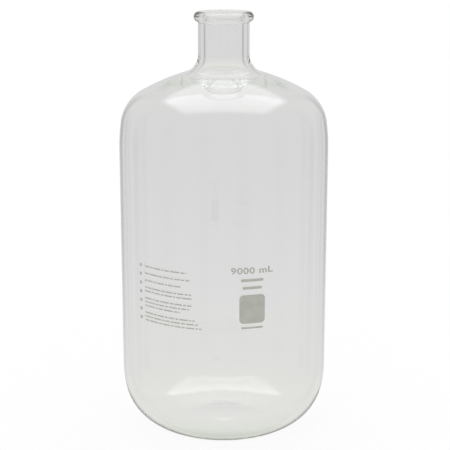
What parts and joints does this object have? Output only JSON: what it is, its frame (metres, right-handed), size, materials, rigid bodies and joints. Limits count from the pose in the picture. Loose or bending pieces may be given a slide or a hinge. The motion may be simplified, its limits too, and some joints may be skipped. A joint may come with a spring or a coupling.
{
  "type": "glass serum bottle",
  "caption": "Clear blown glass bottle with a tall round body, sloping shoulder and narrow beaded neck, for storing liquids under a stopper.",
  "frame": {"origin": "on the axis of the bottle, in the plane of the ring that it stands on", "axes": "+Z along the bottle's axis out of the mouth, -Y towards the printed side"},
  "size_m": [0.208, 0.208, 0.4219],
  "materials": {
    "clear_glass": "clear blown borosilicate glass",
    "enamel": "matt grey fired enamel"
  },
  "bodies": {
    "root": {"bottle": "clear_glass", "capacity_mark": "enamel", "marking_lines": "enamel", "writing_patch": "enamel", "notes_block": "enamel"}
  },
  "joints": []
}
